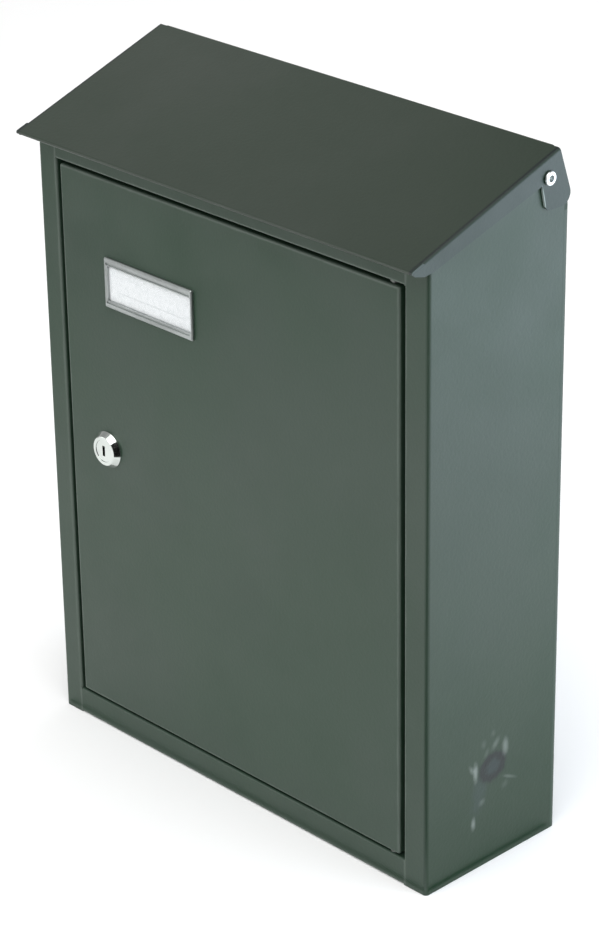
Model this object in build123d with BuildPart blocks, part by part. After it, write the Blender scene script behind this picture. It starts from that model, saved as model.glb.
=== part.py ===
from build123d import *
import os
from math import cos, radians, sin, tan

os.makedirs("parts", exist_ok=True)

# Wall mounted mailbox in folded and painted sheet steel.
#
# Millimetres, +Z up, +X to the right of someone who faces the mailbox.
# The front faces -Y and the wall is at +Y.
# The origin is the centre of the four wall-screw holes, on the face that lies against the wall.

# ---------------------------------------------------------------- driving dimensions

WIDTH = 260.0  # body, over the two sides
DEPTH = 90.0  # front face to wall
SHEET = 1.0  # thickness of every steel sheet
WELD_GAP = 0.05  # left between two welded sheets and round seated parts
SEAT_GAP = 0.02  # radial, where a nut or a clip grips its stud
CUT_MARGIN = 1.0  # an outline that trims a sheet reaches this far past it
HOLE_CLEARANCE = 0.1  # radial, round studs and the lock barrel
BASE = -170.0  # Z of the body's lower edge
FRONT_BEND = 2.0  # outer radius of the body's front upright edges
REAR_BEND = 3.0  # outer radius of the body's rear upright edges
LIP_BEND = 1.2  # outer radius of the small folds

OPENING_LEFT = -117.2  # door opening in the front
OPENING_RIGHT = 115.5
OPENING_BOTTOM = 14.0  # heights are above the body's lower edge
OPENING_TOP = 303.3
LIP_DEPTH = 12.0  # folded edge all round the opening
REBATE_WIDTH = 10.5  # strip behind the door's free edge, which the cam catches
BACK_LEG = 4.0  # depth of the back panel's folded legs, which the sides meet
BACK_SHOULDER = 316.0  # height where the back panel starts to narrow
BACK_TOP = 342.0
BACK_TOP_HALF_WIDTH = 119.0

LID_SLOPE = radians(19.2)
LID_FRONT_HEIGHT = 316.7  # top face at the front edge
LID_OVERHANG = 12.0  # in front of the body
LID_LENGTH = 100.0  # along the slope
LID_HALF_WIDTH = WIDTH / 2 + 1.4  # the ears stand 0.4 off the body's sides
LID_BEND = 1.5
LID_PIVOT_ALONG = 87.8  # from the lid's front edge, along the slope
LID_PIVOT_BELOW = 9.3  # from the lid's top face, square to the slope
LID_REAR_BEND = 2.2
LID_REAR_FLANGE = 9.0
LID_REAR_OVERLAP = 10.0  # of the rear fold with the top sheet
LID_REAR_HALF_WIDTH = 126.0
LID_HEM = 8.0
EAR_START = 82.6  # distances along the slope
EAR_END = 98.3
EAR_FRONT_CORNER = (81.2, -23.0)
EAR_DEPTH = 29.5  # square to the slope, at the ear's rear
EAR_BENDS = (4.0, 5.5)  # corner radii of the ear
# lower edge of the lid's side flanges: along the slope, and square to it
FLANGE_EDGE = ((-CUT_MARGIN, -1.4), (6.2, -6.4), (11.7, -7.6), (EAR_START, -10.5))
BODY_BELOW_LID = 2.2  # body's sloping top edge, square to the slope
NOTCH_RADIUS = 16.0  # of the body's top rear corner, about the lid's pivot
NOTCH_ANGLE = -78.0  # from the slope
NOTCH_DROP = 11.8  # from the pivot down to the notch, at the rear edge
RAIL_BELOW_LID = 3.2  # top rail's sloping flange, square to the slope
RAIL_FLANGE_DEPTH = 11.0
RIVET_RADIUS = 2.0
RIVET_HEAD_RADIUS = 3.4
RIVET_HEAD_THICKNESS = 1.1
RIVET_RIM_ROUNDING = 0.7
RIVET_SHANK_INSIDE = 3.0  # behind the side sheet
RIVET_BULB_RADIUS = 3.0
RIVET_BULB_LENGTH = 3.2
RIVET_BORE_RADIUS = 1.6
RIVET_BORE_DEPTH = 3.5  # from the head's face
RIVET_RUNNING_FIT = 0.08  # radial, in the lid's ears

DOOR_LEFT = -114.5
DOOR_RIGHT = 112.5
DOOR_BOTTOM = 15.2
DOOR_TOP = 301.7
DOOR_DEPTH = 10.0
DOOR_BEND = 1.2  # corners of the pan
DOOR_FACE_BEND = 1.1  # edges of its face
HINGE_X = 107.0
HINGE_BEHIND_FACE = 3.5
PIN_RADIUS = 1.75
PIN_RUNNING_FIT = 0.1  # radial
PIN_REACH = 5.0  # out of the lip, towards the door
PIN_HEAD_RADIUS = 2.25
PIN_HEAD_THICKNESS = 1.0
WASHER_RADIUS = 2.5
WASHER_THICKNESS = 0.7
BUMPER_RADIUS = 3.5
DOOR_BUMPER_INSET = 3.0  # from the door's free edge
DOOR_BUMPER_HEIGHTS = (60.0, 260.0)
LID_BUMPER_X = 90.0
LID_BUMPER_ALONG = 18.5
MOVING_GAP = 0.35  # between faces that slide past each other

SCREW_SPACING_X = 180.0
SCREW_SPACING_Z = 220.0
SCREW_HOLE_RADIUS = 3.5
DRAIN_SPACING = (200.0, 50.0)
DRAIN_RADIUS = 2.5
FLOOR_UPSTAND = 12.0

LABEL_X = -52.0
LABEL_HEIGHT = 249.9
LABEL_SIZE = (62.0, 25.4)
LABEL_CORNER_RADIUS = 0.8
LABEL_BEVEL = 0.5
PLATE_THICKNESS = 1.6
WINDOW_SIZE = (58.9, 17.7)
WINDOW_OFFSET = 0.85  # the left border is wider than the right one
GROOVE_SPACING = 19.8  # between the grooves of the two rails
GROOVE_WIDTH = 1.1
GROOVE_DEPTH = 0.6
GROOVE_END_INSET = 1.5  # from the plate's ends
CARD_SIZE = (59.2, 20.0)
CARD_THICKNESS = 0.25
COVER_THICKNESS = 0.3
CARD_CLEARANCE = 0.1  # all round the card and its cover
LABEL_STUDS = (44.0, 22.6)
STUD_RADIUS = 1.2
STUD_LENGTH = 3.2
CLIP_RADIUS = 3.2
CLIP_THICKNESS = 0.8

LOCK_X = -87.0
LOCK_HEIGHT = 160.0
LOCK_FACE = 3.5  # head, in front of the door
HEAD_BASE_RADIUS = 9.5
HEAD_BASE_THICKNESS = 0.7
HEAD_FACE_RADIUS = 7.4
HEAD_ROUNDING = 0.5
BARREL_RADIUS = 7.5
BARREL_FLATS = 13.0
BARREL_END = 14.0  # distances along the lock are behind the door's face
PLUG_RADIUS = 5.6
PLUG_RUNNING_FIT = 0.08
PLUG_RECESS = 0.25  # plug's face, behind the head's face
PLUG_OVER_BARREL = 0.1
KEYWAY_SIZE = (1.8, 5.4)
KEYWAY_DEPTH = 10.0
DRIVE_SIZE = 6.0  # square end that carries the cam
WAFER_DEPTHS = (1.0, 2.5, 4.0, 5.5)
WAFER_THICKNESS = 0.6
WAFER_HEIGHT = 2.0
WAFER_ABOVE_CENTRE = 1.5
NUT_ACROSS_FLATS = 19.0
NUT_THICKNESS = 3.5
LOCK_WASHER_RADIUS = 11.5
LOCK_WASHER_THICKNESS = 0.8
CAM_START = 14.3
CAM_THICKNESS = 2.0
CAM_REACH = 25.0
CAM_WIDTH = 10.0
CAM_CORNER_RADIUS = 2.0
CAM_EYE_RADIUS = 7.5
SCREW_RADIUS = 1.9
SCREW_LENGTH = 6.0
SCREW_HEAD_RADIUS = 4.2
SCREW_HEAD_THICKNESS = 2.2
SCREW_HEAD_ROUNDING = 0.8
SCREW_CROSS_SIZE = (4.5, 1.0)
SCREW_CROSS_DEPTH = 1.3

# ---------------------------------------------------------------- frames and helpers

FRONT = -DEPTH
LID_FRONT = FRONT - LID_OVERHANG


def height(above_base):
    """Z of a height above the body's lower edge."""
    return BASE + above_base


def lid_point(along, below):
    """(Y, Z) of a point that lies along the lid's slope and below its top face."""
    y = LID_FRONT + along * cos(LID_SLOPE) + below * sin(LID_SLOPE)
    z = height(LID_FRONT_HEIGHT) + along * sin(LID_SLOPE) - below * cos(LID_SLOPE)
    return (y, z)


def under_lid(y, below):
    """Z of the line parallel to the lid's top face, and below it, at a given Y."""
    return height(LID_FRONT_HEIGHT) + (y - LID_FRONT) * tan(LID_SLOPE) - below / cos(LID_SLOPE)


def lid_section_plane(along):
    """Plane square to the slope: local x is X, local y is up from the lid's top face."""
    y, z = lid_point(along, 0)
    return Plane(origin=(0, y, z), x_dir=(1, 0, 0), z_dir=(0, -cos(LID_SLOPE), -sin(LID_SLOPE)))


LID_SIDE = Plane(  # local x is along the slope, local y is up from the lid's top face, normal +X
    origin=(0, LID_FRONT, height(LID_FRONT_HEIGHT)),
    x_dir=(0, cos(LID_SLOPE), sin(LID_SLOPE)),
    z_dir=(1, 0, 0),
)
PIVOT_Y, PIVOT_Z = lid_point(LID_PIVOT_ALONG, LID_PIVOT_BELOW)
HINGE_Y = FRONT + HINGE_BEHIND_FACE


def folded_sheet(corners, bends, side):
    """Section of a folded sheet: a line through its outer corners, rounded and thickened to one side."""
    with BuildSketch() as section:
        with BuildLine():
            FilletPolyline(*corners, radius=bends)
            offset(amount=SHEET, side=side)
        make_face()
    return section.sketch


def finish(part, name):
    """Label one sub-part and write its STEP file."""
    part.label = name
    export_step(part, f"parts/{name}.step")


# ---------------------------------------------------------------- body

def around_pivot(distance, degrees):
    """(Y, Z) of a point at a distance from the lid's pivot, in a direction counted from the slope."""
    angle = radians(degrees) + LID_SLOPE
    return (PIVOT_Y + distance * cos(angle), PIVOT_Z + distance * sin(angle))


SIDE_REAR = -BACK_LEG - WELD_GAP


def side_outline():
    """Side elevation of the body in Y and Z.

    The sloping top edge ends in an arc about the lid's pivot, and the corner behind it is cut away,
    so that the lid's rear edge can swing down past it. That corner lies behind the lid's ear.
    """
    arc_radius = LID_PIVOT_BELOW - BODY_BELOW_LID
    front = FRONT - CUT_MARGIN
    with BuildSketch() as outline:
        with BuildLine():
            Polyline(
                around_pivot(arc_radius, 90),
                (front, under_lid(front, BODY_BELOW_LID)),
                (front, BASE),
                (SIDE_REAR, BASE),
                (SIDE_REAR, PIVOT_Z - NOTCH_DROP),
                around_pivot(NOTCH_RADIUS, NOTCH_ANGLE),
                around_pivot(arc_radius, NOTCH_ANGLE),
            )
            ThreePointArc(
                around_pivot(arc_radius, NOTCH_ANGLE),
                around_pivot(arc_radius, (NOTCH_ANGLE + 90) / 2),
                around_pivot(arc_radius, 90),
            )
        make_face()
    return outline.sketch


def side_panel(inner, hand, rebate):
    """One side in a single folded sheet: side, front stile, and a lip along the door opening."""
    outer = hand * WIDTH / 2
    stile = [(inner, FRONT), (outer, FRONT), (outer, SIDE_REAR)]
    lip = [(inner, FRONT + LIP_DEPTH)]
    lip_bends = [LIP_BEND]
    if rebate:
        lip = [(inner - hand * REBATE_WIDTH, FRONT + LIP_DEPTH)] + lip
        lip_bends = [LIP_BEND, LIP_BEND]
    inside = Side.LEFT if hand > 0 else Side.RIGHT
    zones = [
        (0, OPENING_BOTTOM, stile, [FRONT_BEND]),
        (OPENING_BOTTOM, OPENING_TOP, lip + stile, lip_bends + [FRONT_BEND]),
        (OPENING_TOP, BACK_TOP + DEPTH, stile, [FRONT_BEND]),  # cut to the sloping outline below
    ]
    with BuildPart() as panel:
        for low, high, corners, bends in zones:
            with BuildSketch(Plane.XY.offset(height(low))):
                add(folded_sheet(corners, bends, inside))
            extrude(amount=high - low)
        with BuildSketch(Plane.YZ):
            add(side_outline())
        extrude(amount=WIDTH, both=True, mode=Mode.INTERSECT)
        with BuildSketch(Plane.YZ):
            with Locations((PIVOT_Y, PIVOT_Z)):
                Circle(RIVET_RADIUS + WELD_GAP)
        extrude(amount=WIDTH, both=True, mode=Mode.SUBTRACT)
    return panel.part


finish(side_panel(OPENING_LEFT, hand=-1, rebate=True), "left_side_panel")
finish(side_panel(OPENING_RIGHT, hand=1, rebate=False), "right_side_panel")

with BuildPart() as back_panel:
    with BuildSketch(Plane.XY.offset(BASE)):
        add(
            folded_sheet(
                [(-WIDTH / 2, -BACK_LEG), (-WIDTH / 2, 0), (WIDTH / 2, 0), (WIDTH / 2, -BACK_LEG)],
                [REAR_BEND, REAR_BEND],
                Side.RIGHT,
            )
        )
    extrude(amount=BACK_TOP)
    with BuildSketch(Plane.XZ):
        with BuildLine():
            Polyline(
                (-WIDTH / 2 - CUT_MARGIN, BASE),
                (WIDTH / 2 + CUT_MARGIN, BASE),
                (WIDTH / 2 + CUT_MARGIN, height(BACK_SHOULDER)),
                (BACK_TOP_HALF_WIDTH, height(BACK_TOP)),
                (-BACK_TOP_HALF_WIDTH, height(BACK_TOP)),
                (-WIDTH / 2 - CUT_MARGIN, height(BACK_SHOULDER)),
                close=True,
            )
        make_face()
        with GridLocations(SCREW_SPACING_X, SCREW_SPACING_Z, 2, 2):
            Circle(SCREW_HOLE_RADIUS, mode=Mode.SUBTRACT)
    extrude(amount=DEPTH, both=True, mode=Mode.INTERSECT)
finish(back_panel.part, "back_panel")

FLOOR_LEVEL = SHEET + WELD_GAP
FLOOR_HALF_WIDTH = WIDTH / 2 - SHEET - WELD_GAP
FLOOR_FRONT = FRONT + SHEET + MOVING_GAP
FLOOR_REAR = -SHEET - WELD_GAP
with BuildPart() as bottom_panel:
    with BuildSketch(Plane.XZ.offset(-FLOOR_REAR)):
        add(
            folded_sheet(
                [
                    (-FLOOR_HALF_WIDTH, height(FLOOR_LEVEL + FLOOR_UPSTAND)),
                    (-FLOOR_HALF_WIDTH, height(FLOOR_LEVEL)),
                    (FLOOR_HALF_WIDTH, height(FLOOR_LEVEL)),
                    (FLOOR_HALF_WIDTH, height(FLOOR_LEVEL + FLOOR_UPSTAND)),
                ],
                [LIP_BEND, LIP_BEND],
                Side.LEFT,
            )
        )
    extrude(amount=FLOOR_REAR - FLOOR_FRONT)
    with BuildSketch(Plane.YZ.offset(-FLOOR_HALF_WIDTH + 2 * LIP_BEND)):
        add(
            folded_sheet(
                [
                    (FLOOR_REAR - FLOOR_UPSTAND, height(FLOOR_LEVEL)),
                    (FLOOR_REAR, height(FLOOR_LEVEL)),
                    (FLOOR_REAR, height(FLOOR_LEVEL + FLOOR_UPSTAND)),
                ],
                [LIP_BEND],
                Side.LEFT,
            )
        )
    extrude(amount=2 * (FLOOR_HALF_WIDTH - 2 * LIP_BEND))
    with BuildSketch(Plane.XY.offset(height(0))):
        with Locations((0, (FLOOR_FRONT + FLOOR_REAR) / 2)):
            RectangleRounded(2 * FLOOR_HALF_WIDTH, FLOOR_REAR - FLOOR_FRONT, REAR_BEND - SHEET)
            with GridLocations(*DRAIN_SPACING, 2, 2):
                Circle(DRAIN_RADIUS, mode=Mode.SUBTRACT)
    extrude(amount=2 * FLOOR_UPSTAND, mode=Mode.INTERSECT)
finish(bottom_panel.part, "bottom_panel")

RAIL_LEFT = OPENING_LEFT + WELD_GAP
RAIL_LENGTH = OPENING_RIGHT - OPENING_LEFT - 2 * WELD_GAP
with BuildPart() as front_bottom_rail:
    with BuildSketch(Plane.YZ.offset(RAIL_LEFT)):
        add(
            folded_sheet(
                [
                    (FRONT + LIP_DEPTH, height(OPENING_BOTTOM)),
                    (FRONT, height(OPENING_BOTTOM)),
                    (FRONT, height(0)),
                    (FRONT + LIP_DEPTH, height(0)),
                ],
                [LIP_BEND, LIP_BEND],
                Side.LEFT,
            )
        )
    extrude(amount=RAIL_LENGTH)
    with BuildSketch(Plane.XY.offset(height(OPENING_BOTTOM))):
        with Locations((HINGE_X, HINGE_Y)):
            Circle(PIN_RADIUS + WELD_GAP)
    extrude(amount=-2 * SHEET, mode=Mode.SUBTRACT)
finish(front_bottom_rail.part, "front_bottom_rail")

RAIL_TOP_FLANGE = FRONT + RAIL_FLANGE_DEPTH
with BuildPart() as front_top_rail:
    with BuildSketch(Plane.YZ.offset(RAIL_LEFT)):
        add(
            folded_sheet(
                [
                    (FRONT + LIP_DEPTH, height(OPENING_TOP)),
                    (FRONT, height(OPENING_TOP)),
                    (FRONT, under_lid(FRONT, RAIL_BELOW_LID)),
                    (RAIL_TOP_FLANGE, under_lid(RAIL_TOP_FLANGE, RAIL_BELOW_LID)),
                ],
                [LIP_BEND, LIP_BEND],
                Side.RIGHT,
            )
        )
    extrude(amount=RAIL_LENGTH)
    with BuildSketch(Plane.XY.offset(height(OPENING_TOP))):
        with Locations((HINGE_X, HINGE_Y)):
            Circle(PIN_RADIUS + WELD_GAP)
    extrude(amount=2 * SHEET, mode=Mode.SUBTRACT)
finish(front_top_rail.part, "front_top_rail")


# ---------------------------------------------------------------- lid hinge

def ear_plane(hand):
    """Plane through the lid's pivot axis at the middle of the body, facing out through one side."""
    return Plane(origin=(0, PIVOT_Y, PIVOT_Z), x_dir=(0, 1, 0), z_dir=(hand, 0, 0))


BODY_SIDE = WIDTH / 2
RIVET_HEAD_SEAT = LID_HALF_WIDTH + MOVING_GAP
with BuildPart() as lid_rivets:
    for hand in (-1, 1):
        with BuildSketch(ear_plane(hand).offset(RIVET_HEAD_SEAT)):
            Circle(RIVET_RADIUS)
        extrude(amount=BODY_SIDE - SHEET - RIVET_SHANK_INSIDE - RIVET_HEAD_SEAT)
        with BuildSketch(ear_plane(hand).offset(BODY_SIDE - SHEET - WELD_GAP)):
            Circle(RIVET_BULB_RADIUS)
        extrude(amount=-RIVET_BULB_LENGTH)
        with BuildSketch(ear_plane(hand).offset(RIVET_HEAD_SEAT)):
            Circle(RIVET_HEAD_RADIUS)
        extrude(amount=RIVET_HEAD_THICKNESS)
    outer_rims = lid_rivets.edges().filter_by(GeomType.CIRCLE).group_by(Axis.X)
    fillet(outer_rims[0] + outer_rims[-1], radius=RIVET_RIM_ROUNDING)
    for hand in (-1, 1):
        with BuildSketch(ear_plane(hand).offset(RIVET_HEAD_SEAT + RIVET_HEAD_THICKNESS)):
            Circle(RIVET_BORE_RADIUS)
        extrude(amount=-RIVET_BORE_DEPTH, mode=Mode.SUBTRACT)
finish(lid_rivets.part, "lid_rivets")

# ---------------------------------------------------------------- lid

with BuildPart() as lid:
    with BuildSketch(lid_section_plane(SHEET)):
        add(
            folded_sheet(
                [
                    (-LID_HALF_WIDTH, -EAR_DEPTH),
                    (-LID_HALF_WIDTH, 0),
                    (LID_HALF_WIDTH, 0),
                    (LID_HALF_WIDTH, -EAR_DEPTH),
                ],
                [LID_BEND, LID_BEND],
                Side.RIGHT,
            )
        )
    extrude(amount=SHEET - LID_LENGTH)
    with BuildSketch(LID_SIDE):
        with BuildLine():
            FilletPolyline(
                FLANGE_EDGE[-1],
                EAR_FRONT_CORNER,
                (EAR_END, -EAR_DEPTH),
                (EAR_END, CUT_MARGIN),
                radius=EAR_BENDS,
            )
            Polyline((EAR_END, CUT_MARGIN), (-CUT_MARGIN, CUT_MARGIN), *FLANGE_EDGE)
        make_face()
    extrude(amount=WIDTH, both=True, mode=Mode.INTERSECT)
    with BuildSketch(LID_SIDE.offset(-LID_REAR_HALF_WIDTH)):
        add(
            folded_sheet(
                [(LID_LENGTH - LID_REAR_OVERLAP, 0), (LID_LENGTH, 0), (LID_LENGTH, -LID_REAR_FLANGE)],
                [LID_REAR_BEND],
                Side.RIGHT,
            )
        )
    extrude(amount=2 * LID_REAR_HALF_WIDTH)
    with BuildSketch(LID_SIDE.offset(WELD_GAP - LID_HALF_WIDTH)):
        with Locations((LID_HEM / 2, -SHEET)):
            SlotOverall(LID_HEM, 2 * SHEET)
    extrude(amount=2 * (LID_HALF_WIDTH - WELD_GAP))
    with BuildSketch(LID_SIDE):
        with Locations((LID_PIVOT_ALONG, -LID_PIVOT_BELOW)):
            Circle(RIVET_RADIUS + RIVET_RUNNING_FIT)
    extrude(amount=WIDTH, both=True, mode=Mode.SUBTRACT)
finish(lid.part, "lid")


# ---------------------------------------------------------------- door

DOOR_FACE = Plane(  # local x, y are X, Z from the door's middle, normal out of the door
    origin=((DOOR_LEFT + DOOR_RIGHT) / 2, FRONT, height((DOOR_BOTTOM + DOOR_TOP) / 2)),
    x_dir=(1, 0, 0),
    z_dir=(0, -1, 0),
)
LOCK = Plane(origin=(LOCK_X, FRONT, height(LOCK_HEIGHT)), x_dir=(1, 0, 0), z_dir=(0, -1, 0))
LABEL = Plane(origin=(LABEL_X, FRONT, height(LABEL_HEIGHT)), x_dir=(1, 0, 0), z_dir=(0, -1, 0))

with BuildPart() as door_panel:
    with BuildSketch(DOOR_FACE):
        Rectangle(DOOR_RIGHT - DOOR_LEFT, DOOR_TOP - DOOR_BOTTOM)
    extrude(amount=-DOOR_DEPTH)
    fillet(door_panel.edges().filter_by(Axis.Y), radius=DOOR_BEND)
    fillet(door_panel.faces().sort_by(Axis.Y)[0].edges(), radius=DOOR_FACE_BEND)
    offset(amount=-SHEET, openings=door_panel.faces().sort_by(Axis.Y)[-1])
    with BuildSketch(LOCK):
        Circle(BARREL_RADIUS + HOLE_CLEARANCE)
        Rectangle(BARREL_FLATS + 2 * HOLE_CLEARANCE, 3 * BARREL_RADIUS, mode=Mode.INTERSECT)
    extrude(amount=-3 * SHEET, mode=Mode.SUBTRACT)
    with BuildSketch(LABEL):
        with GridLocations(*LABEL_STUDS, 2, 2):
            Circle(STUD_RADIUS + HOLE_CLEARANCE)
    extrude(amount=-3 * SHEET, mode=Mode.SUBTRACT)
    with BuildSketch(Plane.XY.offset(height(0))):
        with Locations((HINGE_X, HINGE_Y)):
            Circle(PIN_RADIUS + PIN_RUNNING_FIT)
    extrude(amount=OPENING_TOP, mode=Mode.SUBTRACT)
finish(door_panel.part, "door_panel")

# Two short pins stand in the body's lips and reach through the door's top and bottom flanges.
above_top_lip = OPENING_TOP + SHEET + WELD_GAP
below_bottom_lip = OPENING_BOTTOM - SHEET - WELD_GAP
with BuildPart() as hinge_pins:
    for lip, inward in ((above_top_lip, -1), (below_bottom_lip, 1)):
        with BuildSketch(Plane.XY.offset(height(lip))):
            with Locations((HINGE_X, HINGE_Y)):
                Circle(PIN_RADIUS)
        extrude(amount=inward * (PIN_REACH + 2 * SHEET))
        with BuildSketch(Plane.XY.offset(height(lip))):
            with Locations((HINGE_X, HINGE_Y)):
                Circle(PIN_HEAD_RADIUS)
        extrude(amount=-inward * PIN_HEAD_THICKNESS)
finish(hinge_pins.part, "hinge_pins")

with BuildPart() as hinge_washers:
    for lip, inward in ((OPENING_TOP - WELD_GAP, -1), (OPENING_BOTTOM + WELD_GAP, 1)):
        with BuildSketch(Plane.XY.offset(height(lip))):
            with Locations((HINGE_X, HINGE_Y)):
                Circle(WASHER_RADIUS)
                Circle(PIN_RADIUS + WELD_GAP, mode=Mode.SUBTRACT)
        extrude(amount=inward * WASHER_THICKNESS)
finish(hinge_washers.part, "hinge_washers")

REBATE_FACE = FRONT + LIP_DEPTH
DOOR_REAR = FRONT + DOOR_DEPTH
with BuildPart() as door_bumpers:
    with BuildSketch(Plane.XZ.offset(-REBATE_FACE + WELD_GAP)):
        for bumper_height in DOOR_BUMPER_HEIGHTS:
            with Locations((DOOR_LEFT + DOOR_BUMPER_INSET, height(bumper_height))):
                Circle(BUMPER_RADIUS)
    extrude(amount=REBATE_FACE - WELD_GAP - DOOR_REAR - MOVING_GAP)
finish(door_bumpers.part, "door_bumpers")

LID_REST = Plane(  # on the top rail's sloping flange, local x is X, local y up the slope
    origin=(0, *lid_point(LID_BUMPER_ALONG, RAIL_BELOW_LID - WELD_GAP)),
    x_dir=(1, 0, 0),
    z_dir=(0, -sin(LID_SLOPE), cos(LID_SLOPE)),
)
with BuildPart() as lid_bumpers:
    with BuildSketch(LID_REST):
        with GridLocations(2 * LID_BUMPER_X, 0, 2, 1):
            Circle(BUMPER_RADIUS)
    extrude(amount=RAIL_BELOW_LID - WELD_GAP - SHEET - MOVING_GAP)
finish(lid_bumpers.part, "lid_bumpers")

# ---------------------------------------------------------------- name label

with BuildPart() as label_frame:
    with BuildSketch(LABEL.offset(WELD_GAP)):
        RectangleRounded(*LABEL_SIZE, LABEL_CORNER_RADIUS)
    extrude(amount=PLATE_THICKNESS)
    chamfer(label_frame.faces().sort_by(Axis.Y)[0].edges(), length=LABEL_BEVEL)
    with BuildSketch(LABEL):
        with Locations((WINDOW_OFFSET, 0)):
            Rectangle(*WINDOW_SIZE)
    extrude(amount=2 * PLATE_THICKNESS, mode=Mode.SUBTRACT)
    # pocket behind the opening, for the card and its clear cover
    with BuildSketch(LABEL):
        with Locations((WINDOW_OFFSET, 0)):
            Rectangle(CARD_SIZE[0] + 2 * CARD_CLEARANCE, CARD_SIZE[1] + 2 * CARD_CLEARANCE)
    extrude(amount=CARD_THICKNESS + COVER_THICKNESS + 4 * WELD_GAP, mode=Mode.SUBTRACT)
    # groove along the middle of both rails
    with BuildSketch(LABEL.offset(PLATE_THICKNESS + WELD_GAP)):
        with GridLocations(0, GROOVE_SPACING, 1, 2):
            Rectangle(LABEL_SIZE[0] - 2 * GROOVE_END_INSET, GROOVE_WIDTH)
    extrude(amount=-GROOVE_DEPTH, mode=Mode.SUBTRACT)
    with BuildSketch(LABEL.offset(WELD_GAP)):
        with GridLocations(*LABEL_STUDS, 2, 2):
            Circle(STUD_RADIUS)
    extrude(amount=-STUD_LENGTH)
finish(label_frame.part, "label_frame")

with BuildPart() as label_card:
    with BuildSketch(LABEL.offset(WELD_GAP)):
        with Locations((WINDOW_OFFSET, 0)):
            Rectangle(*CARD_SIZE)
    extrude(amount=CARD_THICKNESS)
finish(label_card.part, "label_card")

with BuildPart() as label_window:
    with BuildSketch(LABEL.offset(CARD_THICKNESS + 2 * WELD_GAP)):
        with Locations((WINDOW_OFFSET, 0)):
            Rectangle(*CARD_SIZE)
    extrude(amount=COVER_THICKNESS)
finish(label_window.part, "label_window")

with BuildPart() as label_clips:
    with BuildSketch(LABEL.offset(-SHEET - WELD_GAP)):
        with GridLocations(*LABEL_STUDS, 2, 2):
            Circle(CLIP_RADIUS)
            Circle(STUD_RADIUS + SEAT_GAP, mode=Mode.SUBTRACT)
    extrude(amount=-CLIP_THICKNESS)
finish(label_clips.part, "label_clips")

# ---------------------------------------------------------------- cam lock

PLUG_BORE = PLUG_RADIUS + PLUG_RUNNING_FIT
# local x is the radius, local y is behind the door's face
LOCK_HALF = Plane(origin=LOCK.origin, x_dir=(1, 0, 0), z_dir=(0, 0, 1))

with BuildPart() as lock_housing:
    with BuildSketch(LOCK_HALF):
        with BuildLine():
            Polyline(
                (PLUG_BORE, -LOCK_FACE),
                (HEAD_FACE_RADIUS, -LOCK_FACE),
                (HEAD_BASE_RADIUS, -HEAD_BASE_THICKNESS),
                (HEAD_BASE_RADIUS, -WELD_GAP),
                (PLUG_BORE, -WELD_GAP),
                close=True,
            )
        make_face()
    revolve(axis=Axis(LOCK.origin, (0, 1, 0)))
    face_rims = lock_housing.edges().filter_by(GeomType.CIRCLE).sort_by(Axis.Y)[0:2]
    fillet(face_rims.sort_by(SortBy.RADIUS)[-1:], radius=HEAD_ROUNDING)
    with BuildSketch(LOCK.offset(WELD_GAP)):
        Circle(BARREL_RADIUS)
        Rectangle(BARREL_FLATS, 3 * BARREL_RADIUS, mode=Mode.INTERSECT)
        Circle(PLUG_BORE, mode=Mode.SUBTRACT)
    extrude(amount=-BARREL_END)
finish(lock_housing.part, "lock_housing")

with BuildPart() as lock_washer:
    with BuildSketch(LOCK.offset(-SHEET - WELD_GAP)):
        Circle(LOCK_WASHER_RADIUS)
        Circle(BARREL_RADIUS + HOLE_CLEARANCE, mode=Mode.SUBTRACT)
    extrude(amount=-LOCK_WASHER_THICKNESS)
finish(lock_washer.part, "lock_washer")

with BuildPart() as lock_nut:
    with BuildSketch(LOCK.offset(-SHEET - LOCK_WASHER_THICKNESS - 2 * WELD_GAP)):
        RegularPolygon(NUT_ACROSS_FLATS / 2, 6, major_radius=False)
        Circle(BARREL_RADIUS + SEAT_GAP, mode=Mode.SUBTRACT)
    extrude(amount=-NUT_THICKNESS)
finish(lock_nut.part, "lock_nut")

PLUG_FACE = LOCK_FACE - PLUG_RECESS
CAM_END = CAM_START + CAM_THICKNESS
with BuildPart() as lock_plug:
    with BuildSketch(LOCK.offset(PLUG_FACE)):
        Circle(PLUG_RADIUS)
    extrude(amount=-(PLUG_FACE + BARREL_END + PLUG_OVER_BARREL))
    with BuildSketch(LOCK.offset(-BARREL_END)):
        Rectangle(DRIVE_SIZE, DRIVE_SIZE)
    extrude(amount=-(CAM_END - BARREL_END))
    with BuildSketch(LOCK.offset(LOCK_FACE)):
        Rectangle(*KEYWAY_SIZE)
    extrude(amount=-KEYWAY_DEPTH, mode=Mode.SUBTRACT)
    with BuildSketch(LOCK.offset(-CAM_END)):
        Circle(SCREW_RADIUS + WELD_GAP)
    extrude(amount=SCREW_LENGTH + MOVING_GAP, mode=Mode.SUBTRACT)
finish(lock_plug.part, "lock_plug")

with BuildPart() as lock_wafers:
    for depth in WAFER_DEPTHS:
        with BuildSketch(LOCK.offset(-depth)):
            with Locations((0, WAFER_ABOVE_CENTRE)):
                Rectangle(KEYWAY_SIZE[0] - 2 * WELD_GAP, WAFER_HEIGHT)
        extrude(amount=-WAFER_THICKNESS)
finish(lock_wafers.part, "lock_wafers")

with BuildPart() as lock_cam:
    with BuildSketch(LOCK.offset(-CAM_START)):
        Circle(CAM_EYE_RADIUS)
        with Locations((0, -CAM_REACH / 2)):
            RectangleRounded(CAM_WIDTH, CAM_REACH, CAM_CORNER_RADIUS)
        Rectangle(DRIVE_SIZE + 2 * WELD_GAP, DRIVE_SIZE + 2 * WELD_GAP, mode=Mode.SUBTRACT)
    extrude(amount=-CAM_THICKNESS)
finish(lock_cam.part, "lock_cam")

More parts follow.
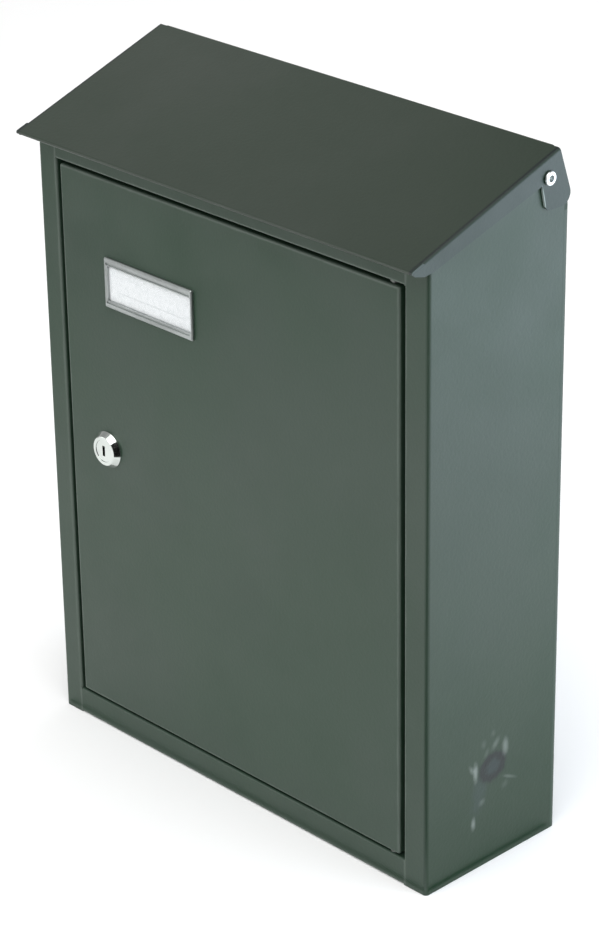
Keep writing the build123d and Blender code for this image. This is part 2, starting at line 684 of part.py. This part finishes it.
SCREW_HEAD_SEAT = CAM_END + WELD_GAP
with BuildPart() as cam_screw:
    with BuildSketch(LOCK.offset(-SCREW_HEAD_SEAT)):
        Circle(SCREW_HEAD_RADIUS)
    extrude(amount=-SCREW_HEAD_THICKNESS)
    fillet(cam_screw.faces().sort_by(Axis.Y)[-1].edges(), radius=SCREW_HEAD_ROUNDING)
    with BuildSketch(LOCK.offset(-SCREW_HEAD_SEAT)):
        Circle(SCREW_RADIUS)
    extrude(amount=SCREW_LENGTH)
    with BuildSketch(LOCK.offset(-SCREW_HEAD_SEAT - SCREW_HEAD_THICKNESS)):
        Rectangle(*SCREW_CROSS_SIZE)
        Rectangle(*reversed(SCREW_CROSS_SIZE))
    extrude(amount=SCREW_CROSS_DEPTH, mode=Mode.SUBTRACT)
finish(cam_screw.part, "cam_screw")
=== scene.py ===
import math

import bpy
from mathutils import Matrix, Vector


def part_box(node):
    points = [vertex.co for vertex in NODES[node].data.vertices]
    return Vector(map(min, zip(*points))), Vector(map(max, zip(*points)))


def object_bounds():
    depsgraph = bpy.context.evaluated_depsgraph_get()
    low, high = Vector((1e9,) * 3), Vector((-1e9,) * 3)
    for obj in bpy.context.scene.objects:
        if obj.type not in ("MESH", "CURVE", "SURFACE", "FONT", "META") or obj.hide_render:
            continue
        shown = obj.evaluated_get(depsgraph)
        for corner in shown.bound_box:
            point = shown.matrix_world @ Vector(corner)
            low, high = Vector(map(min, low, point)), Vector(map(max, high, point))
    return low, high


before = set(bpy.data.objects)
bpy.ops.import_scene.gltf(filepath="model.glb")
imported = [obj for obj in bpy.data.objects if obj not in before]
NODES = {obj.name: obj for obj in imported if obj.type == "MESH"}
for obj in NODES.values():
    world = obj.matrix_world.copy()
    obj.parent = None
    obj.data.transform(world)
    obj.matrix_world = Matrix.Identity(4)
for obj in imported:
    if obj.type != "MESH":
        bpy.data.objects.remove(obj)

# Metres, +Z up. The mailbox faces -Y, and the wall is at +Y.

CAD_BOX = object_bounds()
FLOOR_GAP = 0.0002  # between the mailbox and the floor under it
GROUND = CAD_BOX[0].z - FLOOR_GAP
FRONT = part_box("door_panel")[0].y
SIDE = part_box("right_side_panel")[1].x

# ---------------------------------------------------------------- camera

CAMERA_PLACE = Vector((0.9800, -0.9759, 0.6326))
CAMERA_AZIMUTH = math.radians(46.368)
CAMERA_ELEVATION = math.radians(25.369)
CAMERA_ROLL = math.radians(-0.828)
CAMERA_SHIFT = (-0.0030, 0.0087)  # sideways and up, as shares of the picture's long side
SENSOR_MM = 36.0
LENS_MM = 120.81
CLIP_RANGE = (0.01, 50.0)


def make_camera():
    """A long lens that looks down at the front's right-hand corner."""
    data = bpy.data.cameras.new("camera")
    camera = bpy.data.objects.new("camera", data)
    bpy.context.scene.collection.objects.link(camera)
    level = Vector((math.cos(CAMERA_AZIMUTH), math.sin(CAMERA_AZIMUTH), 0))
    forward = Vector((-math.sin(CAMERA_AZIMUTH), math.cos(CAMERA_AZIMUTH), 0))
    ahead = math.cos(CAMERA_ELEVATION) * forward - math.sin(CAMERA_ELEVATION) * Vector((0, 0, 1))
    upright = level.cross(ahead)
    right = math.cos(CAMERA_ROLL) * level + math.sin(CAMERA_ROLL) * upright
    up = right.cross(ahead)
    turn = Matrix((right, up, -ahead)).transposed().to_4x4()
    camera.matrix_world = Matrix.Translation(CAMERA_PLACE) @ turn
    data.sensor_width = SENSOR_MM
    data.lens = LENS_MM
    data.shift_x, data.shift_y = CAMERA_SHIFT
    data.clip_start, data.clip_end = CLIP_RANGE
    bpy.context.scene.camera = camera


# ---------------------------------------------------------------- shader helper

MID_RANGE = (0.3, 0.7)  # where most of a noise's values lie


class Shader:
    """One node material, with short calls for the textures that the materials share.

    Noise scales are per metre.
    """

    def __init__(self, name):
        self.material = bpy.data.materials.new(name)
        self.material.use_nodes = True
        self.nodes = self.material.node_tree.nodes
        self.links = self.material.node_tree.links
        self.surface = self.nodes["Principled BSDF"]
        self.place = self.nodes.new("ShaderNodeTexCoord").outputs["Object"]

    def fixed(self, **values):
        """Constant values on the surface's sockets, with underscores for the spaces in their names."""
        for name, value in values.items():
            self.surface.inputs[name.replace("_", " ")].default_value = value

    def link(self, source, target):
        self.links.new(source, target)

    def stretched(self, scale, centre=(0, 0, 0), turn=(0, 0, 0)):
        """Object coordinates about a centre, turned and then scaled on each axis."""
        mapping = self.nodes.new("ShaderNodeMapping")
        mapping.vector_type = "TEXTURE"
        mapping.inputs["Location"].default_value = centre
        mapping.inputs["Rotation"].default_value = turn
        mapping.inputs["Scale"].default_value = [1 / s for s in scale]
        self.link(self.place, mapping.inputs["Vector"])
        return mapping.outputs["Vector"]

    def noise(self, scale, detail=2.0, roughness=0.5, vector=None):
        node = self.nodes.new("ShaderNodeTexNoise")
        node.inputs["Scale"].default_value = scale
        node.inputs["Detail"].default_value = detail
        node.inputs["Roughness"].default_value = roughness
        self.link(vector or self.place, node.inputs["Vector"])
        return node.outputs["Fac"]

    def math(self, operation, first, second=0.0):
        """A math node's result; first and second are numbers or sockets."""
        node = self.nodes.new("ShaderNodeMath")
        node.operation = operation
        for socket, value in zip(node.inputs, (first, second)):
            if isinstance(value, (int, float)):
                socket.default_value = value
            else:
                self.link(value, socket)
        return node.outputs["Value"]

    def band(self, value, low, high, to_low=0.0, to_high=1.0):
        """value, eased from low..high to to_low..to_high and held there outside."""
        node = self.nodes.new("ShaderNodeMapRange")
        node.interpolation_type = "SMOOTHSTEP"
        node.inputs["From Min"].default_value = low
        node.inputs["From Max"].default_value = high
        node.inputs["To Min"].default_value = to_low
        node.inputs["To Max"].default_value = to_high
        self.link(value, node.inputs["Value"])
        return node.outputs["Result"]

    def mix(self, share, first, second):
        """Colour mix; share is a number or a socket, first and second are colours or sockets."""
        node = self.nodes.new("ShaderNodeMix")
        node.data_type = "RGBA"
        factor, color_a, color_b = node.inputs["Factor"], node.inputs[6], node.inputs[7]
        for socket, value in zip((factor, color_a, color_b), (share, first, second)):
            if isinstance(value, bpy.types.NodeSocket):
                self.link(value, socket)
            elif isinstance(value, (int, float)):
                socket.default_value = value
            else:
                socket.default_value = (*value, 1)
        return node.outputs[2]

    def length(self, vector):
        node = self.nodes.new("ShaderNodeVectorMath")
        node.operation = "LENGTH"
        self.link(vector, node.inputs[0])
        return node.outputs["Value"]

    def away_from(self, centre, value):
        """How far a value lies from a centre, to either side."""
        return self.math("ABSOLUTE", self.math("SUBTRACT", value, centre))

    def stain_and_painted_light(self, color, distance, stain_color, fade, share):
        """color under a mark of stain, painted shade or painted highlight, which has its full share up to
        one distance and has faded out at another.
        """
        full, gone = fade
        return self.mix(self.band(distance, full, gone, share, 0.0), color, stain_color)

    def axis(self, name):
        """One of the object coordinates, by name."""
        node = self.nodes.new("ShaderNodeSeparateXYZ")
        self.link(self.place, node.inputs["Vector"])
        return node.outputs[name]

    def color(self, socket):
        self.link(socket, self.surface.inputs["Base Color"])

    def roughness(self, socket):
        self.link(socket, self.surface.inputs["Roughness"])

    def bump(self, height, distance, strength=1.0):
        node = self.nodes.new("ShaderNodeBump")
        node.inputs["Distance"].default_value = distance
        node.inputs["Strength"].default_value = strength
        self.link(height, node.inputs["Height"])
        self.link(node.outputs["Normal"], self.surface.inputs["Normal"])


# ---------------------------------------------------------------- paint

PAINT_COLOR = (0.017, 0.040, 0.023)
PAINT_TINT = (0.022, 0.042, 0.028)
PAINT_ROUGHNESS = 0.38
PAINT_SPECULAR = 0.44
DRIFT_SCALE = 9.0  # slow change from the colour to the tint
DRIFT_RANGE = (0.35, 0.65)
SPECK_SCALE = 1500.0
SPECK_RANGE = (0.62, 0.78)
SPECK_LIFT = 1.7  # how much brighter a speck is
SPECK_SHARE = 0.35
SMUDGE_SCALE = 26.0  # patches that are a little glossier or duller
SMUDGE_SPREAD = (-0.05, 0.06)  # their roughness, against the paint's
PEEL_SCALE = 620.0
PEEL_HEIGHT = 0.00012
PEEL_STRENGTH = 0.55

EDGE_REACH = 0.0016  # from a folded edge, within which the paint carries a painted highlight
EDGE_HIGHLIGHT_LIFT = 0.045  # how much paler the paint is there, a painted highlight along the fold
EDGE_FADE = (0.9, 1.6)  # in reaches, with the breakup noise added
EDGE_SHARE = 0.9
EDGE_BREAKUP_SCALE = 70.0
THIN = 0.001  # flattens a direction along which a distance is not to count

ALONG_X = (0, 0, 0)  # turns of a line, for from_line
ALONG_Z = (0, math.radians(90), 0)


def from_line(shader, reach, point, turn):
    """Distance from a line, in reaches. The line's turn is counted from the X axis, about X, Y and Z."""
    return shader.length(shader.stretched((THIN, 1 / reach, 1 / reach), point, turn))


def from_oval(shader, y, z, half_y, half_z, degrees):
    """Distance from the centre of an oval on the sides, 1 on its outline, turned by degrees about X."""
    turn = (math.radians(degrees), 0, 0)
    return shader.length(shader.stretched((THIN, 1 / half_y, 1 / half_z), (SIDE, y, z), turn))


def paint(name, color, tint, edges=()):
    """Satin paint on sheet steel: its shader, and the socket that holds its colour.

    It has orange peel, a faint colour drift, small changes of gloss, and paler paint on edges, which is a
    painted highlight.
    Each edge is a point on it and its turn, as from_line takes them.
    """
    s = Shader(name)
    drift = s.noise(DRIFT_SCALE, detail=3.0)
    speck = s.noise(SPECK_SCALE, detail=1.0)
    base = s.mix(s.band(drift, *DRIFT_RANGE), color, tint)
    bright = [min(1.0, c * SPECK_LIFT) for c in color]
    coat = s.mix(s.band(speck, *SPECK_RANGE, to_high=SPECK_SHARE), base, bright)
    patchy = s.noise(EDGE_BREAKUP_SCALE, detail=4.0, roughness=0.6)
    for point, turn in edges:
        away = s.math("ADD", from_line(s, EDGE_REACH, point, turn), patchy)
        coat = s.stain_and_painted_light(coat, away, [c + EDGE_HIGHLIGHT_LIFT for c in color], EDGE_FADE, EDGE_SHARE)
    s.color(coat)
    smudge = s.noise(SMUDGE_SCALE, detail=5.0, roughness=0.6)
    s.roughness(s.band(smudge, *MID_RANGE, *[PAINT_ROUGHNESS + spread for spread in SMUDGE_SPREAD]))
    peel = s.noise(PEEL_SCALE, detail=2.0, roughness=0.45)
    s.bump(peel, distance=PEEL_HEIGHT, strength=PEEL_STRENGTH)
    s.fixed(Specular_IOR_Level=PAINT_SPECULAR)
    return s, coat


def panel_edges(name, *sides):
    """Front edges of one node's box, named by side: left, right, bottom or top."""
    lo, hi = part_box(name)
    lines = {
        "left": ((lo.x, FRONT, 0), ALONG_Z),
        "right": ((hi.x, FRONT, 0), ALONG_Z),
        "bottom": ((0, FRONT, lo.z), ALONG_X),
        "top": ((0, FRONT, hi.z), ALONG_X),
    }
    return [lines[side] for side in sides]


def body_paint(name, edges=()):
    """The body's and the door's paint, with a painted highlight along the given edges."""
    return paint(name, PAINT_COLOR, PAINT_TINT, edges)[0].material


# The lid's top and side flanges are one painted sheet; their two colours are painted shade, set for how the
# light falls on the top and on the flanges.
LID_COLOR = (0.019, 0.030, 0.020)
LID_TINT = (0.023, 0.033, 0.024)
FLANGE_SHADE_COLOR = (0.010, 0.026, 0.018)
FLANGE_START = 0.0012  # from the lid's outer face, where the flange's colour begins
FLANGE_FULL = 0.0006
FLANGE_SHARE = 0.85
FOLD_INSET = 0.0013  # from the lid's outer face
# A stain or a patch of painted shade or light is its colour, the two distances between which it fades out,
# and its full share.
# An oval is the figures that from_oval takes.
FOLD_PAINTED_SHADE = ((0.005, 0.009, 0.010), (0.0003, 0.0011), 0.8)  # painted shade beside the lid's side folds
EAR_EDGE_OVAL = (-0.01915, 0.15782, 0.0008, 0.0080, 12.8)  # along the front edge of both ears
# pale paint on the ears' front edges: wear, and painted light that lightens the shadow beside them
EAR_EDGE_WEAR_AND_PAINTED_LIGHT = ((0.24, 0.29, 0.27), (0.4, 1.0), 0.9)


def lid_paint_with_painted_light():
    """The lid's paint: browner on top than on its side flanges and darker beside the side folds, both
    painted shade, and paler on the ears' front edges, wear with painted light over their shadow.
    """
    s, color = paint("lid_paint", LID_COLOR, LID_TINT)
    half_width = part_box("lid")[1].x
    out = s.math("ABSOLUTE", s.axis("X"))
    flange = s.band(out, half_width - FLANGE_START, half_width - FLANGE_FULL, to_high=FLANGE_SHARE)
    color = s.mix(flange, color, FLANGE_SHADE_COLOR)
    color = s.stain_and_painted_light(color, s.away_from(half_width - FOLD_INSET, out), *FOLD_PAINTED_SHADE)
    color = s.stain_and_painted_light(color, from_oval(s, *EAR_EDGE_OVAL), *EAR_EDGE_WEAR_AND_PAINTED_LIGHT)
    s.color(color)
    return s.material


BEND_REACH = 0.0017
BEND_PAINTED_SHADE = ((0.002, 0.012, 0.005), (0.65, 1.5), 0.26)  # painted shade along the front bend, distances in reaches
RAGGED_SCALE = 260.0  # of the scuffs' outlines
NOISE_MIDDLE = 0.5
FOOT_PAINTED_SHADE = ((0.002, 0.022, 0.006), (GROUND, GROUND + 0.16), 0.8)  # painted shade darkening the foot; distances are heights
FOOT_RAGGED = 0.03
SMEAR_OVAL = (-0.0542, -0.1285, 0.013, 0.0055, 80)
SMEAR = ((0.026, 0.044, 0.048), (0.3, 1.3), 0.35)
SMEAR_RAGGED = 1.4
RING_OVAL = (-0.0452, -0.1185, 0.0096, 0.0080, 8)
RING_DARK = ((0.000, 0.005, 0.005), (0.8, 1.15), 0.95)
RING_MIDDLE = ((0.012, 0.026, 0.025), (0.25, 0.65), 0.85)
RING_RAGGED = 0.5
CHIP_COLOR = (0.28, 0.32, 0.30)
CHIP_FADE = (0.0, 1.5)
CHIP_RAGGED = 0.9
CHIPS = (  # pale marks round the ring: an oval, and then the mark's share
    (-0.0570, -0.1173, 0.0050, 0.0016, 92, 0.53),
    (-0.0596, -0.1147, 0.0030, 0.0013, 120, 0.28),
    (-0.0367, -0.1109, 0.0045, 0.0021, 90, 0.36),
    (-0.0435, -0.1066, 0.0037, 0.0018, 50, 0.21),
    (-0.0516, -0.1040, 0.0024, 0.0016, 90, 0.10),
    (-0.0496, -0.1095, 0.0028, 0.0015, 60, 0.10),
    (-0.0582, -0.1445, 0.0034, 0.0015, 90, 0.45),
    (-0.0524, -0.1349, 0.0023, 0.0018, 20, 0.17),
    (-0.0337, -0.1285, 0.0050, 0.0009, -26, 0.19),
    (-0.0367, -0.1314, 0.0025, 0.0020, 30, 0.09),
    (-0.0452, -0.1005, 0.0018, 0.0016, 90, 0.09),
)
OUTER_SKIN = (0.0006, 0.0003)  # scuffs and the foot's painted shade fade in between these depths below the side's outer face


def scuffed_and_shaded_paint():
    """The right side's paint: a dark rubbed ring and pale chips low down, and painted shade darkening its
    foot and its front bend.
    """
    s, color = paint("side_paint", PAINT_COLOR, PAINT_TINT, panel_edges("right_side_panel", "left"))
    clean = s.stain_and_painted_light(color, from_line(s, BEND_REACH, (SIDE, FRONT, 0), ALONG_Z), *BEND_PAINTED_SHADE)
    ragged = s.math("SUBTRACT", s.noise(RAGGED_SCALE, detail=4.0, roughness=0.65), NOISE_MIDDLE)

    def spot(oval, ragged_by):
        """Distance from an oval's centre, 1 on its edge, with a ragged outline."""
        return s.math("ADD", from_oval(s, *oval), s.math("MULTIPLY", ragged, ragged_by))

    height = s.math("ADD", s.axis("Z"), s.math("MULTIPLY", ragged, FOOT_RAGGED))
    color = s.stain_and_painted_light(clean, height, *FOOT_PAINTED_SHADE)
    color = s.stain_and_painted_light(color, spot(SMEAR_OVAL, SMEAR_RAGGED), *SMEAR)
    ring = spot(RING_OVAL, RING_RAGGED)
    color = s.stain_and_painted_light(color, ring, *RING_DARK)
    color = s.stain_and_painted_light(color, ring, *RING_MIDDLE)
    for *oval, share in CHIPS:
        color = s.stain_and_painted_light(color, spot(oval, CHIP_RAGGED), CHIP_COLOR, CHIP_FADE, share)
    deep, shallow = OUTER_SKIN
    outside = s.band(s.axis("X"), SIDE - deep, SIDE - shallow)
    s.color(s.mix(outside, clean, color))
    return s.material


# ---------------------------------------------------------------- other materials

METAL_SHADE = 0.88  # brightness of the darkest clouding
METAL_SPREAD = (-0.04, 0.06)  # of the roughness
EVEN_GRAIN = (1, 1, 1)
BRUSHED_GRAIN = (0.05, 1, 1)  # drawn out along X
METALS = {
    "zinc": {"color": (0.62, 0.62, 0.60), "roughness": 0.34, "grain_scale": 500.0},
    "dull_zinc": {"color": (0.20, 0.21, 0.20), "roughness": 0.50, "grain_scale": 500.0},
    "aluminium": {"color": (0.70, 0.73, 0.72), "roughness": 0.28, "grain_scale": 400.0},
    "chrome": {
        "color": (0.64, 0.68, 0.65), "roughness": 0.09, "grain_scale": 300.0, "grain_height": 0.00001,
    },
    "label_metal": {
        "color": (0.47, 0.50, 0.49), "roughness": 0.34, "grain_scale": 700.0, "grain_height": 0.00002,
        "grain_stretch": BRUSHED_GRAIN,
    },
    "brass": {"color": (0.72, 0.52, 0.24), "roughness": 0.35, "grain_scale": 500.0},
}


def metal(name, color, roughness, grain_scale, grain_stretch=EVEN_GRAIN, grain_height=0.00003):
    """Bare or plated metal with a fine grain and slight clouding."""
    s = Shader(name)
    grain = s.noise(grain_scale, detail=3.0, vector=s.stretched(grain_stretch))
    cloud = s.noise(scale=60.0, detail=3.0)
    s.color(s.mix(s.band(cloud, *MID_RANGE), color, [c * METAL_SHADE for c in color]))
    s.roughness(s.band(grain, *MID_RANGE, *[roughness + spread for spread in METAL_SPREAD]))
    s.bump(grain, distance=grain_height)
    s.fixed(Metallic=1.0)
    return s.material


RUBBER_BLACK = (0.018, 0.018, 0.018)
RUBBER_GREY = (0.032, 0.032, 0.031)


def rubber():
    """Black rubber with a dull grain."""
    s = Shader("rubber")
    grain = s.noise(scale=900.0, detail=3.0)
    s.color(s.mix(s.band(grain, *MID_RANGE), RUBBER_BLACK, RUBBER_GREY))
    s.roughness(s.band(grain, *MID_RANGE, to_low=0.62, to_high=0.8))
    s.bump(grain, distance=0.00005)
    return s.material


CARD_WHITE = (0.67, 0.69, 0.70)
CARD_GREY = (0.60, 0.63, 0.64)
CARD_SMUDGE = (0.45, 0.49, 0.50)
CARD_SMUDGE_RANGE = (0.48, 0.66)
CARD_SMUDGE_SHARE = 0.38
FIBRE_STRETCH = (1.0, 1.0, 0.4)
LINE_COLOR = (0.35, 0.38, 0.40)
LINE_SHARE = 0.45
LINE_HEIGHT = 0.32  # as a share of the card's height
LINE_HALF_LENGTH = 0.0225
LINE_HALF_WIDTH = 0.0002
LINE_BLUR = 0.0003


def card():
    """White card with faint paper fibres, a few smudges and one pale writing line."""
    s = Shader("card")
    fibre = s.noise(scale=1800.0, detail=4.0, vector=s.stretched(FIBRE_STRETCH))
    cloud = s.noise(scale=45.0, detail=2.0)
    greyed = s.math("MULTIPLY", s.band(fibre, *MID_RANGE), cloud)
    white = s.mix(greyed, CARD_WHITE, CARD_GREY)
    lo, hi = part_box("label_card")
    off_line = s.away_from(lo.z + LINE_HEIGHT * (hi.z - lo.z), s.axis("Z"))
    off_middle = s.away_from((lo.x + hi.x) / 2, s.axis("X"))
    across = s.band(off_line, LINE_HALF_WIDTH, LINE_HALF_WIDTH + LINE_BLUR, to_low=1, to_high=0)
    along = s.band(off_middle, LINE_HALF_LENGTH, LINE_HALF_LENGTH + LINE_BLUR, to_low=1, to_high=0)
    on_line = s.math("MULTIPLY", across, along)
    smudge = s.noise(scale=420.0, detail=3.0, roughness=0.6)
    white = s.mix(s.band(smudge, *CARD_SMUDGE_RANGE, to_high=CARD_SMUDGE_SHARE), white, CARD_SMUDGE)
    s.color(s.mix(s.math("MULTIPLY", on_line, LINE_SHARE), white, LINE_COLOR))
    s.roughness(s.band(fibre, *MID_RANGE, to_low=0.7, to_high=0.9))
    s.bump(fibre, distance=0.00002)
    return s.material


COVER_TINT = (0.93, 0.95, 0.96)
COVER_WHITE = (0.97, 0.98, 0.98)


def clear_cover():
    """Thin clear strip that only adds a little gloss."""
    s = Shader("clear_cover")
    haze = s.noise(scale=300.0, detail=2.0)
    s.roughness(s.band(haze, *MID_RANGE, to_low=0.06, to_high=0.14))
    s.color(s.mix(haze, COVER_TINT, COVER_WHITE))
    s.fixed(Alpha=0.12)
    return s.material


# ---------------------------------------------------------------- materials on the nodes

def dress(material, *names):
    """Put one material on CAD nodes."""
    for name in names:
        mesh = NODES[name].data
        mesh.materials.clear()
        mesh.materials.append(material)


def dress_painted():
    """Each front sheet has its own paint, because the edges with a painted highlight differ."""
    door_edges = panel_edges("door_panel", "left", "right", "bottom", "top")
    left_edges = panel_edges("left_side_panel", "left") + panel_edges("front_top_rail", "left")
    dress(body_paint("body_paint"), "back_panel", "bottom_panel")
    dress(body_paint("door_paint", door_edges), "door_panel")
    dress(body_paint("left_paint", left_edges), "left_side_panel")
    dress(body_paint("top_rail_paint", panel_edges("front_top_rail", "bottom")), "front_top_rail")
    dress(body_paint("bottom_rail_paint", panel_edges("front_bottom_rail", "bottom")), "front_bottom_rail")
    dress(scuffed_and_shaded_paint(), "right_side_panel")
    dress(lid_paint_with_painted_light(), "lid")


def dress_fittings():
    """Metals, rubber, card and clear plastic."""
    metals = {name: metal(name, **finish) for name, finish in METALS.items()}
    dress(metals["dull_zinc"], "hinge_pins", "hinge_washers")
    dress(metals["zinc"], "label_clips", "lock_nut", "lock_washer", "lock_cam", "cam_screw")
    dress(metals["aluminium"], "lid_rivets")
    dress(metals["chrome"], "lock_housing", "lock_plug")
    dress(metals["label_metal"], "label_frame")
    dress(metals["brass"], "lock_wafers")
    dress(rubber(), "lid_bumpers", "door_bumpers")
    dress(card(), "label_card")
    dress(clear_cover(), "label_window")


# ---------------------------------------------------------------- floor and light

FLOOR_HALF_WIDTH = 8.0
FLOOR_WHITES = ((0.97, 0.97, 0.97), (0.99, 0.99, 0.99))


def flat_mesh(name, points, faces, material):
    """A mesh object in the scene, for the studio's floor and cloths."""
    mesh = bpy.data.meshes.new(name)
    mesh.from_pydata(points, [], faces)
    mesh.materials.append(material)
    item = bpy.data.objects.new(name, mesh)
    bpy.context.scene.collection.objects.link(item)
    return item


def make_floor():
    """A plain pale floor."""
    s = Shader("floor")
    cloud = s.noise(scale=3.0, detail=2.0)
    s.color(s.mix(cloud, *FLOOR_WHITES))
    s.fixed(Roughness=0.85)
    half = FLOOR_HALF_WIDTH
    corners = [(-half, -half, GROUND), (half, -half, GROUND), (half, half, GROUND), (-half, half, GROUND)]
    floor = flat_mesh("floor", corners, [(0, 1, 2, 3)], s.material)


WORLD_BRIGHT = 1.05
WORLD_DIM = 0.14
DIM_DIRECTION = Vector((-0.45, 0.45, 0.77)).normalized()
DIM_START = 0.2  # cosine of the angle from that direction where the dimming begins


def make_world():
    """A plain studio: pale all round, dimmer above and behind."""
    world = bpy.data.worlds.new("studio")
    bpy.context.scene.world = world
    world.use_nodes = True
    nodes, links = world.node_tree.nodes, world.node_tree.links
    dot = nodes.new("ShaderNodeVectorMath")
    dot.operation = "DOT_PRODUCT"
    dot.inputs[1].default_value = DIM_DIRECTION
    links.new(nodes.new("ShaderNodeTexCoord").outputs["Generated"], dot.inputs[0])
    ramp = nodes.new("ShaderNodeMapRange")
    ramp.interpolation_type = "SMOOTHSTEP"
    ramp.inputs["From Min"].default_value = DIM_START
    ramp.inputs["To Min"].default_value = WORLD_BRIGHT
    ramp.inputs["To Max"].default_value = WORLD_DIM
    links.new(dot.outputs["Value"], ramp.inputs["Value"])
    background = nodes["Background"]
    background.inputs["Color"].default_value = (1.0, 1.0, 1.0, 1)
    links.new(ramp.outputs["Result"], background.inputs["Strength"])


CLOTH_BLACKS = ((0.004, 0.004, 0.004), (0.012, 0.012, 0.012))
CLOTH_LIFT = 0.001  # above the floor
ON_GROUND = GROUND + CLOTH_LIFT
FLAGS = {  # black cloths: direction across each one, then X, Y, Z and half width at points along it
    "lock_flag": ((0.62, 0.78), (  # from the floor before the lock up a stand at the front right
        (0.110, -0.200, ON_GROUND, 0.035),
        (0.213, -0.275, ON_GROUND, 0.080),
        (0.340, -0.380, -0.110, 0.110),
        (0.420, -0.430, -0.030, 0.130),
        (0.360, -0.450, 0.210, 0.140),
        (0.200, -0.440, 0.400, 0.140),
    )),
    "corner_flag": ((0.72, 0.69), (  # outwards from the front right edge
        (0.150, -0.110, ON_GROUND, 0.015),
        (0.300, -0.270, ON_GROUND, 0.110),
        (0.620, -0.600, ON_GROUND, 0.330),
    )),
    "front_foot_flag": ((0, 1), (  # a strip along the front's foot
        (-0.130, -0.0928, ON_GROUND, 0.0012),
        (0.128, -0.0928, ON_GROUND, 0.0012),
    )),
    "side_foot_flag": ((1, 0), (  # and one along the side's
        (0.1326, -0.088, ON_GROUND, 0.0012),
        (0.1326, -0.004, ON_GROUND, 0.0012),
    )),
    "far_flag": ((0.72, -0.70), (  # far out at the front left, darkening the door's upper half
        (-0.370, -0.510, ON_GROUND, 0.200),
        (-0.850, -0.900, ON_GROUND, 0.500),
    )),
}


def make_flags():
    """Black studio cloths that only reflections see, which give the metal and the satin paint contrast."""
    s = Shader("black_cloth")
    weave = s.noise(scale=900.0, detail=2.0)
    s.color(s.mix(weave, *CLOTH_BLACKS))
    s.fixed(Roughness=0.95, Specular_IOR_Level=0.0)
    for name, (direction, line) in FLAGS.items():
        across = Vector((*direction, 0)).normalized()
        points = []
        for x, y, z, half_width in line:
            middle = Vector((x, y, z))
            points += [middle - across * half_width, middle + across * half_width]
        faces = [(i, i + 1, i + 3, i + 2) for i in range(0, len(points) - 2, 2)]
        flag = flat_mesh(name, points, faces, s.material)
        flag.visible_camera = False
        flag.visible_diffuse = False
        flag.visible_shadow = False


WHITE = (1, 1, 1)
SKY_BLUE = (0.70, 0.83, 1.0)
LIGHTS = (  # name, place, target, size, watts, colour
    ("overhead", (0.3, -0.8, 2.2), (0.0, 0.0, 0.0), (2.4, 2.4), 42.5, WHITE),
    ("side_softbox", (0.52, 0.28, 0.07), (0.13, -0.05, 0.06), (0.7, 0.46), 2.4, SKY_BLUE),
    ("left_softbox", (-0.44, 0.08, 0.52), (-0.1, -0.05, 0.15), (0.40, 0.40), 0.22, WHITE),
    ("low_fill", (-0.45, -0.75, 0.0), (0.0, -0.09, -0.12), (0.5, 0.3), 0.85, WHITE),
    ("floor_wash", (-0.3, 1.3, 1.4), (-0.5, 1.2, GROUND), (2.0, 1.2), 7.0, WHITE),
)
NOT_IN_REFLECTIONS = ("floor_wash",)


def make_lights():
    """Soft area lights, which the camera doesn't see."""
    for name, place, target, size, watts, color in LIGHTS:
        data = bpy.data.lights.new(name, "AREA")
        data.shape = "RECTANGLE"
        data.size, data.size_y = size
        data.energy = watts
        data.color = color
        light = bpy.data.objects.new(name, data)
        bpy.context.scene.collection.objects.link(light)
        light.location = place
        towards = Vector(target) - Vector(place)
        light.rotation_euler = towards.to_track_quat("-Z", "Y").to_euler()
        light.visible_camera = False
        light.visible_glossy = name not in NOT_IN_REFLECTIONS


dress_painted()
dress_fittings()
make_camera()
make_floor()
make_world()
make_flags()
make_lights()
bpy.context.scene.view_settings.view_transform = "Standard"
